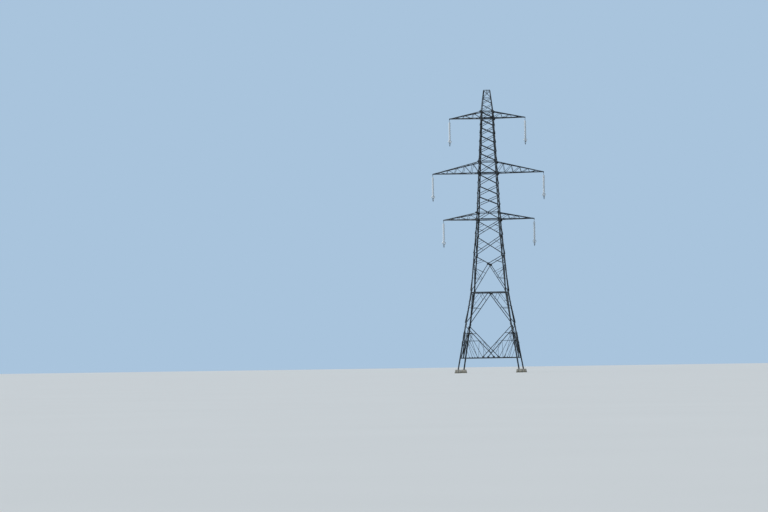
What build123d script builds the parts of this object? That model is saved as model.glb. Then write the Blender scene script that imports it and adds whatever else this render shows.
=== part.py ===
from build123d import *
import math
import os

os.makedirs("parts", exist_ok=True)

# Millimetres, at half the real size. +Z is up, the arms run along X, the line runs along Y.

# Half the width over the outer corners of the legs, at each height where the legs bend
WAIST_Z = 5925
BODY_H = 5300
BODY_TOP_Z = WAIST_Z + BODY_H
BARREL_PANELS = [1045, 750, 780, 850, 875, 675, 650, 650, 600, 600, 550]
BARREL_LEVELS = [BODY_TOP_Z + sum(BARREL_PANELS[:k]) for k in range(len(BARREL_PANELS) + 1)]
BARREL_TOP_Z = BARREL_LEVELS[-1]
PEAK_H = 1550
PEAK_TOP_Z = BARREL_TOP_Z + PEAK_H
PROFILE = [(0, 2300), (WAIST_Z, 1300), (BODY_TOP_Z, 840), (BARREL_TOP_Z, 435), (PEAK_TOP_Z, 245)]

# Leg angles: flange width and thickness
LOWER_LEG = (100, 8)
BODY_LEG = (90, 7)
BARREL_LEG = (75, 6)
PEAK_LEG = (50, 5)
LEG_FOOT_Z = 60

# Bracing angles: flange width, with one thickness for each section of the tower
BAR_T = 4
LOWER_BAR = 54
BODY_BAR = 48
BARREL_BAR = 44
PEAK_BAR = 30
END_INSET = 50
END_DROP = 80
COPE = 64

# Heights of the joints of the bracing on the legs
CENTRE_GUSSET_Z = WAIST_Z + 2050
BODY_LEVELS = [WAIST_Z + 2725, WAIST_Z + 4150, BODY_TOP_Z]
PEAK_LEVELS = [BARREL_TOP_Z + PEAK_H * share for share in (0, 0.335, 0.63, 1)]
KNEE_Z = 3650
FOOT_TOP_Z = 3425
BASE_Z = 1100
BASE_BAR = 64
BASE_GUSSET_X = 380

# Level frames inside the legs
FRAME_LEVELS = [BODY_TOP_Z + 28, BARREL_LEVELS[4], BARREL_LEVELS[5], BARREL_LEVELS[10], BARREL_TOP_Z - 28]
FRAME_BAR = 50
FRAME_T = 5
WAIST_BAR = 70
WAIST_FRAME_Z = WAIST_Z - 38

# Crossarms: height of the bottom chord, height of the top chord at the tower, half span, panels
LOW_ARM_TOP_Z = BODY_TOP_Z + 538
ARMS = {
    "top": (BARREL_LEVELS[10], BARREL_TOP_Z - 18, 2790, 3),
    "middle": (BARREL_LEVELS[4], BARREL_LEVELS[5], 4090, 5),
    "lower": (BODY_TOP_Z + 15, LOW_ARM_TOP_Z, 3340, 3),
}
CHORD = 56
CHORD_T = 6
ARM_BAR = 26
LACED = 0.88
TURN_SHARE = 0.82
TIP_HALF = 40
TIP_DEPTH = 52
END_PLATE_T = 6

# Insulator sets, measured down from the pin at the arm tip
PIN_R = 8
PIN_FIT = 0.35
PIN_DROP = 55
HANGER_T = 12
SHACKLE_GAP = 6
SHEDS = 20
SHED_PITCH = 73
SHED_R = 74
SHED_NECK_R = 26
SHED_CAP_H = 26
FIRST_SHED = 150
STRING_END = FIRST_SHED + SHEDS * SHED_PITCH + 10
YOKE_DROP = 125
CLAMP_DROP = STRING_END + YOKE_DROP
CLAMP_PITCH = 190
CLAMP_BORE_R = 7.3

FOOTING_BASE = 460
FOOTING_TAPER = 13
FOOTING_H = 260

SIDES = {"front": 0, "right": 90, "back": 180, "left": 270}
CORNERS = {"back_right": 0, "back_left": 90, "front_left": 180, "front_right": 270}


def half_width(z):
    """Half the width over the outer corners of the legs at height z."""
    for (z1, w1), (z2, w2) in zip(PROFILE, PROFILE[1:]):
        if z <= z2:
            return w1 + (w2 - w1) * (z - z1) / (z2 - z1)


def side_plane(turn, z1, z2):
    """Plane of the outer faces of the leg flanges on one side, x level, z pointing outwards."""
    w1, w2 = half_width(z1), half_width(z2)
    slope = math.hypot(z2 - z1, w1 - w2)
    c, s = math.cos(math.radians(turn)), math.sin(math.radians(turn))
    out, lift = (z2 - z1) / slope, (w1 - w2) / slope
    return Plane(origin=(w1 * s, -w1 * c, z1), x_dir=(c, s, 0), z_dir=(out * s, -out * c, lift))


def on_side(plane, x, z):
    """Sketch coordinates of the point at level position x and height z on a side plane."""
    return (x, (z - plane.origin.Z) / plane.y_dir.Z)


def leg_point(plane, end, z):
    """Where a bar that ends on the left (-1) or right (1) leg has its end."""
    return on_side(plane, end * (half_width(z) - END_INSET), z)


def strip(a, b, width, shift=0, cope=0):
    """Places the flat view of a straight bar from a to b in the open sketch."""
    dx, dy = b[0] - a[0], b[1] - a[1]
    length = math.hypot(dx, dy)
    centre = ((a[0] + b[0]) / 2 - dy / length * shift, (a[1] + b[1]) / 2 + dx / length * shift)
    with Locations(centre):
        Rectangle(length - 2 * cope, width, rotation=math.degrees(math.atan2(dy, dx)))


def crossing(a, b):
    """Where the bar from a to b meets the middle of its side."""
    return (0, a[1] + (b[1] - a[1]) * (0 - a[0]) / (b[0] - a[0]))


def falling(plane, low, high):
    """Ends of the outer bar of a panel: left leg at the top, right leg at the bottom."""
    return leg_point(plane, -1, high - END_DROP), leg_point(plane, 1, low + END_DROP)


def rising(plane, low, high):
    """Ends of the inner bar of a panel: left leg at the bottom, right leg at the top."""
    return leg_point(plane, -1, low + END_DROP), leg_point(plane, 1, high - END_DROP)


def copies(first, node, turns):
    """Writes a piece and its copies, each turned about the axis of the tower."""
    for place, turn in turns.items():
        with BuildPart() as turned:
            add(first, rotation=(0, 0, turn))
        turned.part.label = f"{node}_{place}"
        export_step(turned.part, f"parts/{node}_{place}.step")


# Legs: angle bars in three lengths, with their flanges in the planes of the sides
LEG_SECTIONS = {
    "lower": (LEG_FOOT_Z, WAIST_Z, LOWER_LEG),
    "body": (WAIST_Z, BODY_TOP_Z, BODY_LEG),
    "barrel": (BODY_TOP_Z, BARREL_TOP_Z, BARREL_LEG),
}
for section, (z1, z2, (width, thick)) in LEG_SECTIONS.items():
    w1, w2 = half_width(z1), half_width(z2)
    run = Vector(w2 - w1, w2 - w1, z2 - z1)
    with BuildPart() as leg:
        with BuildSketch(Plane((w1, w1, z1))):
            with Locations((-width / 2, -thick / 2)):
                Rectangle(width, thick)
            with Locations((-thick / 2, -width / 2)):
                Rectangle(thick, width)
        extrude(amount=run.length, dir=run.normalized())
    copies(leg.part, f"leg_{section}", CORNERS)

# Concrete footings, each with a pocket that its leg stands in
foot_x = half_width(FOOTING_H / 2) - LOWER_LEG[0] / 2
with BuildPart() as footings:
    with BuildSketch(Plane((foot_x, foot_x, 0))):
        Rectangle(FOOTING_BASE, FOOTING_BASE)
    extrude(amount=FOOTING_H, taper=FOOTING_TAPER)
    width, thick = LOWER_LEG
    w1, w2 = half_width(LEG_FOOT_Z), half_width(WAIST_Z)
    run = Vector(w2 - w1, w2 - w1, WAIST_Z - LEG_FOOT_Z)
    with BuildSketch(Plane((w1, w1, LEG_FOOT_Z))):
        with Locations((-width / 2, -thick / 2)):
            Rectangle(width, thick)
        with Locations((-thick / 2, -width / 2)):
            Rectangle(thick, width)
    extrude(amount=run.length, dir=run.normalized(), mode=Mode.SUBTRACT)
    mirror(about=Plane.XZ)
    mirror(about=Plane.YZ)
footings.part.label = "footings"
export_step(footings.part, "parts/footings.step")

# Level bars near the ground, with the gussets that take the feet of the bracing
plane = side_plane(0, 0, WAIST_Z)
thick = LOWER_LEG[1]
ends = leg_point(plane, -1, BASE_Z), leg_point(plane, 1, BASE_Z)
with BuildPart() as base_horizontal:
    with BuildSketch(plane.offset(-thick)):
        strip(*ends, BASE_BAR)
    extrude(amount=-BAR_T)
    with BuildSketch(plane.offset(-thick - BAR_T)):
        strip(*ends, BAR_T, shift=-(BASE_BAR - BAR_T) / 2, cope=COPE)
    extrude(amount=-(BASE_BAR - BAR_T))
    with BuildSketch(plane):
        with Locations(*[on_side(plane, x, BASE_Z + 55) for x in (-BASE_GUSSET_X, BASE_GUSSET_X)]):
            Rectangle(160, 130)
    extrude(amount=-thick)
with BuildPart() as base_horizontals:
    for turn in SIDES.values():
        add(base_horizontal.part, rotation=(0, 0, turn))
base_horizontals.part.label = "base_horizontals"
export_step(base_horizontals.part, "parts/base_horizontals.step")

# Bracing between the ground and the waist: knee bars from the waist, and crossed foot bars
reach = 40
falling_foot = leg_point(plane, -1, FOOT_TOP_Z), on_side(plane, BASE_GUSSET_X, BASE_Z + 92)
rising_foot = on_side(plane, -BASE_GUSSET_X, BASE_Z + 92), leg_point(plane, 1, FOOT_TOP_Z)
falling_bars = [(on_side(plane, reach, WAIST_Z - 95), leg_point(plane, 1, KNEE_Z)), falling_foot]
rising_bars = [(leg_point(plane, -1, KNEE_Z), on_side(plane, -reach, WAIST_Z - 95)), rising_foot]
with BuildPart() as lower_bracing:
    with BuildSketch(plane):
        for ends in falling_bars:
            strip(*ends, LOWER_BAR)
    extrude(amount=BAR_T)
    with BuildSketch(plane.offset(BAR_T)):
        for ends in falling_bars:
            strip(*ends, BAR_T, shift=(LOWER_BAR - BAR_T) / 2)
    extrude(amount=LOWER_BAR - BAR_T)
    with BuildSketch(plane.offset(-thick)):
        for ends in rising_bars:
            strip(*ends, LOWER_BAR)
    extrude(amount=-BAR_T)
    with BuildSketch(plane.offset(-thick - BAR_T)):
        for ends in rising_bars:
            strip(*ends, BAR_T, shift=(LOWER_BAR - BAR_T) / 2, cope=COPE)
    extrude(amount=-(LOWER_BAR - BAR_T))
    with BuildSketch(plane):
        with Locations(crossing(*falling_foot)):
            Rectangle(34, 34)
    extrude(amount=-thick)
copies(lower_bracing.part, "lower_bracing", SIDES)

# Bracing of the body, from the waist to the lowest arm, with its centre gusset
plane = side_plane(0, WAIST_Z, BODY_TOP_Z)
thick = BODY_LEG[1]
panels = list(zip(BODY_LEVELS, BODY_LEVELS[1:]))
vee_z = BODY_LEVELS[0] - END_DROP
falling_bars = [falling(plane, *panel) for panel in panels]
falling_bars += [
    (leg_point(plane, -1, vee_z), on_side(plane, -50, CENTRE_GUSSET_Z + 38)),
    (on_side(plane, 42, CENTRE_GUSSET_Z - 56), leg_point(plane, 1, WAIST_Z + END_DROP)),
]
rising_bars = [rising(plane, *panel) for panel in panels]
rising_bars += [
    (on_side(plane, 50, CENTRE_GUSSET_Z + 38), leg_point(plane, 1, vee_z)),
    (leg_point(plane, -1, WAIST_Z + END_DROP), on_side(plane, -42, CENTRE_GUSSET_Z - 56)),
]
with BuildPart() as body_bracing:
    with BuildSketch(plane):
        for ends in falling_bars:
            strip(*ends, BODY_BAR)
    extrude(amount=BAR_T)
    with BuildSketch(plane.offset(BAR_T)):
        for ends in falling_bars:
            strip(*ends, BAR_T, shift=(BODY_BAR - BAR_T) / 2)
    extrude(amount=BODY_BAR - BAR_T)
    with BuildSketch(plane.offset(-thick)):
        for ends in rising_bars:
            strip(*ends, BODY_BAR)
    extrude(amount=-BAR_T)
    with BuildSketch(plane.offset(-thick - BAR_T)):
        for ends in rising_bars:
            strip(*ends, BAR_T, shift=(BODY_BAR - BAR_T) / 2)
    extrude(amount=-(BODY_BAR - BAR_T))
    with BuildSketch(plane):
        for panel in panels:
            with Locations(crossing(*falling(plane, *panel))):
                Rectangle(30, 30)
        with Locations(on_side(plane, 0, CENTRE_GUSSET_Z - 10)):
            Rectangle(190, 175)
    extrude(amount=-thick)
copies(body_bracing.part, "body_bracing", SIDES)

# Bracing of the barrel, from the lowest arm to the peak
plane = side_plane(0, BODY_TOP_Z, BARREL_TOP_Z)
thick = BARREL_LEG[1]
panels = list(zip(BARREL_LEVELS, BARREL_LEVELS[1:]))
falling_bars = [falling(plane, *panel) for panel in panels]
rising_bars = [rising(plane, *panel) for panel in panels]
tie = leg_point(plane, -1, LOW_ARM_TOP_Z), leg_point(plane, 1, LOW_ARM_TOP_Z)
with BuildPart() as barrel_bracing:
    with BuildSketch(plane):
        for ends in falling_bars:
            strip(*ends, BARREL_BAR)
    extrude(amount=BAR_T)
    with BuildSketch(plane.offset(BAR_T)):
        for ends in falling_bars:
            strip(*ends, BAR_T, shift=(BARREL_BAR - BAR_T) / 2)
    extrude(amount=BARREL_BAR - BAR_T)
    with BuildSketch(plane.offset(-thick)):
        for ends in rising_bars:
            strip(*ends, BARREL_BAR)
        strip(*tie, BARREL_BAR)
    extrude(amount=-BAR_T)
    with BuildSketch(plane.offset(-thick - BAR_T)):
        for ends in rising_bars:
            strip(*ends, BAR_T, shift=(BARREL_BAR - BAR_T) / 2)
    extrude(amount=-(BARREL_BAR - BAR_T))
    with BuildSketch(plane):
        for panel in panels:
            with Locations(crossing(*falling(plane, *panel))):
                Rectangle(26, 26)
    extrude(amount=-thick)
copies(barrel_bracing.part, "barrel_bracing", SIDES)

# Frame at the waist: level bars inside the legs, centre gussets and a diamond in plan
plane = side_plane(0, 0, WAIST_Z)
thick = LOWER_LEG[1]
inner = half_width(WAIST_FRAME_Z) - thick
ends = on_side(plane, -inner + 7, WAIST_FRAME_Z), on_side(plane, inner - 7, WAIST_FRAME_Z)
with BuildPart() as waist_side:
    with BuildSketch(plane.offset(-thick)):
        strip(*ends, WAIST_BAR)
    extrude(amount=-FRAME_T)
    with BuildSketch(plane):
        with Locations(on_side(plane, 0, WAIST_Z - 85)):
            Rectangle(190, 150)
    extrude(amount=-thick)
with BuildPart() as waist_frame:
    for turn in SIDES.values():
        add(waist_side.part, rotation=(0, 0, turn))
    with BuildSketch(Plane.XY.offset(WAIST_FRAME_Z - FRAME_T / 2)):
        Rectangle(2 * inner - 6, 2 * inner - 6)
        Rectangle(2 * inner - 2 * WAIST_BAR, 2 * inner - 2 * WAIST_BAR, mode=Mode.SUBTRACT)
        middle = inner - WAIST_BAR / 2
        diamond = [(middle, 0), (0, middle), (-middle, 0), (0, -middle)]
        for a, b in zip(diamond, diamond[1:] + diamond[:1]):
            strip(a, b, LOWER_BAR, cope=LOWER_BAR / 4)
    extrude(amount=FRAME_T)
waist_frame.part.label = "waist_frame"
export_step(waist_frame.part, "parts/waist_frame.step")

# Frames inside the barrel at the levels of the arms
plane = side_plane(0, BODY_TOP_Z, BARREL_TOP_Z)
thick = BARREL_LEG[1]
with BuildPart() as frame_sides:
    for z in FRAME_LEVELS:
        inner = half_width(z) - thick
        with BuildSketch(plane.offset(-thick)):
            strip(on_side(plane, -inner + 3, z), on_side(plane, inner - 3, z), FRAME_BAR)
        extrude(amount=-FRAME_T)
with BuildPart() as level_frames:
    for turn in SIDES.values():
        add(frame_sides.part, rotation=(0, 0, turn))
    for z in FRAME_LEVELS:
        inner = half_width(z) - thick
        middle = inner - FRAME_BAR / 2
        with BuildSketch(Plane.XY.offset(z - FRAME_T / 2)):
            Rectangle(2 * inner - 6, 2 * inner - 6)
            Rectangle(2 * inner - 2 * FRAME_BAR, 2 * inner - 2 * FRAME_BAR, mode=Mode.SUBTRACT)
            strip((-middle, -middle), (middle, middle), BARREL_BAR, cope=BARREL_BAR / 2)
        extrude(amount=FRAME_T)
level_frames.part.label = "level_frames"
export_step(level_frames.part, "parts/level_frames.step")

# Peak: four leg angles, cross bracing and a closed frame on top
plane = side_plane(0, BARREL_TOP_Z, PEAK_TOP_Z)
width, thick = PEAK_LEG
w1, w2 = half_width(BARREL_TOP_Z), half_width(PEAK_TOP_Z)
run = Vector(w2 - w1, w2 - w1, PEAK_TOP_Z - BARREL_TOP_Z)
fall, rise = [], []
for low, high in zip(PEAK_LEVELS, PEAK_LEVELS[1:]):
    in_low, in_high = half_width(low + 45) - 30, half_width(high - 45) - 30
    fall.append((on_side(plane, -in_high, high - 45), on_side(plane, in_low, low + 45)))
    rise.append((on_side(plane, -in_low, low + 45), on_side(plane, in_high, high - 45)))
with BuildPart() as peak_side:
    with BuildSketch(Plane((w1, w1, BARREL_TOP_Z))):
        with Locations((-width / 2, -thick / 2)):
            Rectangle(width, thick)
        with Locations((-thick / 2, -width / 2)):
            Rectangle(thick, width)
    extrude(amount=run.length, dir=run.normalized())
    with BuildSketch(plane):
        for ends in fall:
            strip(*ends, PEAK_BAR)
    extrude(amount=BAR_T)
    with BuildSketch(plane.offset(-thick)):
        for ends in rise:
            strip(*ends, PEAK_BAR)
    extrude(amount=-BAR_T)
    with BuildSketch(plane):
        top = PEAK_TOP_Z - PEAK_BAR / 2
        strip(on_side(plane, -w2, top), on_side(plane, w2, top), PEAK_BAR)
        for ends in fall:
            with Locations(crossing(*ends)):
                Rectangle(18, 18)
    extrude(amount=-thick)
with BuildPart() as peak:
    for turn in SIDES.values():
        add(peak_side.part, rotation=(0, 0, turn))
peak.part.label = "peak"
export_step(peak.part, "parts/peak.step")


def between(a, b, f):
    """Point a fraction f of the way from a to b, in a sketch."""
    return (a[0] + (b[0] - a[0]) * f, a[1] + (b[1] - a[1]) * f)


def flat(sheet, point):
    """Sketch coordinates of a point in space on a plane."""
    local = sheet.to_local_coords(point)
    return (local.X, local.Y)


def lacing(a, b, c, d, panels):
    """Places zigzag bars between the line from a to b and the line from c to d in the open sketch."""
    for k in range(panels):
        turn_point = between(c, d, (k + TURN_SHARE) / panels * LACED)
        strip(between(a, b, k / panels * LACED), turn_point, ARM_BAR)
        strip(turn_point, between(a, b, (k + 1) / panels * LACED), ARM_BAR)


def single_lacing(a, b, c, d, panels):
    """Places one bar a panel, by turns from each line to the other, in the open sketch."""
    for k in range(panels):
        start, end = ((a, b), (c, d)) if k % 2 == 0 else ((c, d), (a, b))
        strip(between(*start, k / panels * LACED), between(*end, (k + 1) / panels * LACED), ARM_BAR)


# Insulator string with its shackle, hung from the origin: the pin is on the Y axis
face = Plane(origin=(0, 0, 0), x_dir=(1, 0, 0), z_dir=(0, -1, 0))
cheek = HANGER_T / 2 + SHACKLE_GAP
neck_flat = SHED_NECK_R * math.cos(math.pi / 6)
rim_flat = SHED_R * math.cos(math.pi / 6)
skirt_h = SHED_PITCH - SHED_CAP_H
with BuildPart() as skirt:
    with BuildSketch():
        RegularPolygon(SHED_R, 6)
    extrude(amount=skirt_h, taper=math.degrees(math.atan((rim_flat - neck_flat) / skirt_h)))
with BuildPart() as shed:
    with BuildSketch():
        RegularPolygon(SHED_R, 6)
    extrude(amount=SHED_CAP_H, taper=math.degrees(math.atan((rim_flat - neck_flat) / SHED_CAP_H)))
    mirror(skirt.part, about=Plane.XY)
with BuildPart() as string:
    with BuildSketch(face.offset(-cheek)):
        Circle(PIN_R)
    extrude(amount=2 * cheek)
    with BuildSketch(face.offset(cheek), face.offset(-cheek - 8)):
        with Locations((0, -30)):
            Rectangle(30, 96)
    extrude(amount=8)
    with BuildSketch(face.offset(cheek + 8), face.offset(-cheek - 16)):
        RegularPolygon(13, 6)
    extrude(amount=8)
    with BuildSketch(Plane((0, 0, -90))):
        Rectangle(30, 2 * cheek + 16)
    extrude(amount=16)
    with BuildSketch(Plane((0, 0, -86))):
        RegularPolygon(12, 4)
    extrude(amount=-(FIRST_SHED - 86))
    with Locations(*[(0, 0, -FIRST_SHED - SHED_CAP_H - SHED_PITCH * k) for k in range(SHEDS)]):
        add(shed.part)
    with BuildSketch(Plane((0, 0, -STRING_END))):
        RegularPolygon(12, 4)
    extrude(amount=STRING_END - FIRST_SHED - SHED_PITCH * SHEDS)

# Yoke plate with a clamp in its window and one under it, for two conductors one above the other
clamp_levels = [-CLAMP_DROP, -CLAMP_DROP - CLAMP_PITCH]
with BuildPart() as yoke:
    with BuildSketch(face.offset(-5)):
        Polygon((-22, -STRING_END), (-52, -CLAMP_DROP + 60), (-52, -CLAMP_DROP - 60),
                (-22, -CLAMP_DROP - CLAMP_PITCH + 10), (22, -CLAMP_DROP - CLAMP_PITCH + 10),
                (52, -CLAMP_DROP - 60), (52, -CLAMP_DROP + 60), (22, -STRING_END), align=None)
        with Locations((0, -CLAMP_DROP - 20)):
            Rectangle(60, 60, mode=Mode.SUBTRACT)
    extrude(amount=10)
    side_view = Plane(origin=(-16, 0, -CLAMP_DROP), x_dir=(0, 1, 0), z_dir=(1, 0, 0))
    with BuildSketch(side_view):
        for level in (0, -CLAMP_PITCH):
            with Locations((0, level)):
                Polygon((-62, -11), (-40, -17), (40, -17), (62, -11), (62, 11), (40, 16), (-40, 16),
                        (-62, 11), align=None)
    extrude(amount=32)
    with BuildSketch(face.offset(-70)):
        with Locations(*[(0, level) for level in clamp_levels]):
            Circle(CLAMP_BORE_R)
    extrude(amount=140, mode=Mode.SUBTRACT)

# Crossarms: four chords that meet at the tip, laced on all four sides, and the insulator sets
skin = side_plane(90, BODY_TOP_Z, BARREL_TOP_Z)
for arm, (z_low, z_high, span, panels) in ARMS.items():
    w_low, w_high = half_width(z_low) - 8, half_width(z_high) - 8
    foot = Vector(w_low - 20, -w_low, z_low)
    head = Vector(w_high - 20, -w_high, z_high)
    tip = Vector(span, -TIP_HALF, z_low)
    tip_top = Vector(span, -TIP_HALF, z_low + TIP_DEPTH)
    along = (tip - foot).normalized()
    web = Plane(origin=foot, x_dir=along, z_dir=along.cross(head - foot).normalized())
    slope = Vector(tip_top.X - head.X, 0, tip_top.Z - head.Z).normalized()
    roof = Plane(origin=(head.X, 0, head.Z), x_dir=slope, z_dir=slope.cross(Vector(0, 1, 0)))
    floor = Plane((foot.X, 0, z_low))
    with BuildPart() as crossarm:
        with BuildSketch(web):
            low_a, low_b, high_a, high_b = (flat(web, p) for p in (foot, tip, head, tip_top))
            strip(low_a, low_b, CHORD, shift=CHORD / 2)
            strip(high_a, high_b, CHORD, shift=-CHORD / 2)
            raised = [(x, y + CHORD / 2) for x, y in (low_a, low_b)]
            lowered = [(x, y - CHORD / 2) for x, y in (high_a, high_b)]
            lacing(*raised, *lowered, panels)
        extrude(amount=-CHORD_T)
        mirror(about=Plane.XZ)
        for sheet, a, b, depth in ((roof, head, tip_top, -CHORD_T), (floor, foot, tip, CHORD_T)):
            with BuildSketch(sheet):
                front_a, front_b = flat(sheet, a), flat(sheet, b)
                back_a, back_b = (front_a[0], -front_a[1]), (front_b[0], -front_b[1])
                strip(front_a, front_b, CHORD, shift=CHORD / 2)
                strip(back_a, back_b, CHORD, shift=-CHORD / 2)
                inward = [(x, y + CHORD / 2) for x, y in (front_a, front_b)]
                single_lacing(*inward, *[(x, -y) for x, y in inward], panels)
            extrude(amount=depth)
        split(bisect_by=skin, keep=Keep.TOP)
        with BuildSketch(skin):
            for z, z_mid in ((z_low, z_low + 14), (z_high, z_high - 14)):
                y_mid = half_width(z) - 36
                with Locations(on_side(skin, -y_mid, z_mid), on_side(skin, y_mid, z_mid)):
                    Rectangle(66, 48)
        extrude(amount=END_PLATE_T)
        with BuildSketch(Plane((span - 20, 0, z_low))):
            Rectangle(90, 2 * TIP_HALF)
        extrude(amount=CHORD_T)
        with BuildSketch(Plane(origin=(span, HANGER_T / 2, z_low), x_dir=(1, 0, 0), z_dir=(0, -1, 0))):
            with Locations((0, -12)):
                Rectangle(50, 90)
            with Locations((0, -PIN_DROP)):
                RegularPolygon(25, 8, major_radius=False)
                Circle(PIN_R + PIN_FIT, mode=Mode.SUBTRACT)
        extrude(amount=HANGER_T)
    crossarm.part.label = f"crossarm_{arm}_right"
    export_step(crossarm.part, f"parts/crossarm_{arm}_right.step")
    with BuildPart() as left_crossarm:
        mirror(crossarm.part, about=Plane.YZ)
    left_crossarm.part.label = f"crossarm_{arm}_left"
    export_step(left_crossarm.part, f"parts/crossarm_{arm}_left.step")

    for hand, x in (("left", -span), ("right", span)):
        for node, first in (("insulator", string), ("yoke", yoke)):
            with BuildPart() as hung:
                with Locations((x, 0, z_low - PIN_DROP)):
                    add(first.part)
            hung.part.label = f"{node}_{arm}_{hand}"
            export_step(hung.part, f"parts/{node}_{arm}_{hand}.step")
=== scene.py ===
import math

import bmesh
import bpy
from mathutils import Matrix, Vector


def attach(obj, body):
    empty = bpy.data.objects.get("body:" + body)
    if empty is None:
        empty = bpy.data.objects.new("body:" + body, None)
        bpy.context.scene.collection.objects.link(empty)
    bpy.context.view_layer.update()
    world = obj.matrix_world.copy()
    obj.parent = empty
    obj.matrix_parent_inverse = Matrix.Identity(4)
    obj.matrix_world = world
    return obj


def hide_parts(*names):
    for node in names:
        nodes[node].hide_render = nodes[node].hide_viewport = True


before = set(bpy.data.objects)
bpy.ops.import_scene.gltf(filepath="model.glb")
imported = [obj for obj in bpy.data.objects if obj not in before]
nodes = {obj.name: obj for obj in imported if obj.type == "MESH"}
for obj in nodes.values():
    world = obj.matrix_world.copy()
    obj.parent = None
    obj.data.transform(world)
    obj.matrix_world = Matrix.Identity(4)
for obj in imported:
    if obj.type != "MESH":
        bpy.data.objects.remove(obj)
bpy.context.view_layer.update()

# Legs
# The four corner legs are rolled steel angles with equal flanges, bolted end to end in three lengths.
# They were dipped in molten zinc at the works, which the weather has since dulled to a dark matt grey.


def linear(code):
    """Linear colour of an sRGB hex value."""
    parts = [int(code[i:i + 2], 16) / 255 for i in (1, 3, 5)]
    return [c / 12.92 if c <= 0.04045 else ((c + 0.055) / 1.055) ** 2.4 for c in parts] + [1]


def add_node(tree, kind, settings={}, links={}):
    """Adds a node, sets its options and sockets, and links sockets to outputs or to a node's first one."""
    new = tree.nodes.new(kind)
    for name, value in settings.items():
        if isinstance(name, int) or name in new.inputs:
            new.inputs[name].default_value = value
        else:
            setattr(new, name, value)
    for name, source in links.items():
        if isinstance(source, bpy.types.Node):
            source = source.outputs[0]
        tree.links.new(source, new.inputs[name])
    return new


def new_material(name):
    """An empty material, its node tree, and the place of each point of its piece, in metres."""
    made = bpy.data.materials.new(name)
    made.use_nodes = True
    tree = made.node_tree
    return made, tree, add_node(tree, "ShaderNodeTexCoord").outputs["Object"]


def link_surface(tree, colour, gloss, relief):
    """Links the colour, roughness and relief of a material to its shader, and gives back the shader."""
    shader = tree.nodes["Principled BSDF"]
    tree.links.new(colour.outputs[2], shader.inputs["Base Color"])
    tree.links.new(gloss.outputs[0], shader.inputs["Roughness"])
    tree.links.new(relief.outputs[0], shader.inputs["Normal"])
    return shader


def dulled_zinc(name, body, bloom, stain):
    """Hot-dip galvanised steel after years outdoors: matt grey with pale bloom, streaks where rain runs
    down, and a little brown at the thinnest places."""
    steel, tree, place = new_material(name)
    # Bloom comes and goes over about 300 mm
    patches = add_node(tree, "ShaderNodeTexNoise", {"Scale": 1 / 0.3, "Detail": 5, "Roughness": 0.62},
                       {"Vector": place}).outputs["Fac"]
    # Streaks are about 20 mm wide and 400 mm long
    drawn = add_node(tree, "ShaderNodeMapping", {"Scale": (1 / 0.02, 1 / 0.02, 1 / 0.4)}, {"Vector": place})
    streaks = add_node(tree, "ShaderNodeTexNoise", {"Scale": 1, "Detail": 3}, {"Vector": drawn})
    # Zinc crystals of about 6 mm, drawn at 20 mm so that they show
    crystals = add_node(tree, "ShaderNodeTexVoronoi", {"Scale": 1 / 0.02}, {"Vector": place})
    flecks = add_node(tree, "ShaderNodeTexNoise", {"Scale": 1 / 0.09, "Detail": 6, "Roughness": 0.75},
                      {"Vector": place})
    pale = add_node(tree, "ShaderNodeMapRange", {"From Min": 0.42, "From Max": 0.66}, {"Value": patches})
    grey = add_node(tree, "ShaderNodeMix", {"data_type": "RGBA", 6: linear(body), 7: linear(bloom)},
                    {0: pale})
    crystal_tone = add_node(tree, "ShaderNodeMapRange", {"To Min": 0.86, "To Max": 1.14},
                            {"Value": crystals.outputs["Color"]})
    toned = add_node(tree, "ShaderNodeVectorMath", {"operation": "MULTIPLY"},
                     {0: grey.outputs[2], 1: crystal_tone})
    wet = add_node(tree, "ShaderNodeMapRange", {"From Min": 0.5, "From Max": 0.72, "To Max": 0.75},
                   {"Value": streaks.outputs["Fac"]})
    streaked = add_node(tree, "ShaderNodeMix", {"data_type": "RGBA", 7: linear(stain)},
                        {0: wet, 6: toned})
    worn = add_node(tree, "ShaderNodeMapRange", {"From Min": 0.62, "From Max": 0.74, "To Max": 0.55},
                    {"Value": flecks.outputs["Fac"]})
    rusted = add_node(tree, "ShaderNodeMix", {"data_type": "RGBA", 7: linear("#5b4636")},
                      {0: worn, 6: streaked.outputs[2]})
    gloss = add_node(tree, "ShaderNodeMapRange", {"To Min": 0.48, "To Max": 0.78}, {"Value": patches})
    relief = add_node(tree, "ShaderNodeBump", {"Strength": 0.35, "Distance": 0.0008},
                      {"Height": flecks.outputs["Fac"]})
    link_surface(tree, rusted, gloss, relief).inputs["Metallic"].default_value = 0.4
    return steel


def dress(starts, material):
    """Gives the solids whose names begin with starts a finish in place of their plain one."""
    for name in nodes:
        if name.startswith(starts):
            nodes[name].data.materials.clear()
            nodes[name].data.materials.append(material)


def join_rings(mesh, a, b):
    """Faces all round between two rings that have the same number of corners."""
    for i in range(len(a)):
        j = (i + 1) % len(a)
        mesh.faces.new((a[i], a[j], b[j], b[i]))


def prism(mesh, first, last):
    """Joins two outlines that have the same number of corners into a closed solid."""
    a = [mesh.verts.new(p) for p in first]
    b = [mesh.verts.new(p) for p in last]
    join_rings(mesh, a, b)
    mesh.faces.new(a[::-1])
    mesh.faces.new(b)


def close_mesh(mesh, name, material):
    """Turns a built mesh into mesh data of one material, with its faces outward."""
    bmesh.ops.recalc_face_normals(mesh, faces=mesh.faces)
    data = bpy.data.meshes.new(name)
    mesh.to_mesh(data)
    mesh.free()
    data.materials.append(material)
    return data


def finish_piece(mesh, name, material):
    """Turns a built mesh into a named piece of galvanised steel, fixed to the tower."""
    made = bpy.data.objects.new(name, close_mesh(mesh, name, material))
    bpy.context.scene.collection.objects.link(made)
    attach(made, "tower")


def turns(count):
    """Angles of count equal steps all the way round."""
    return [2 * math.pi * k / count for k in range(count)]


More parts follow.
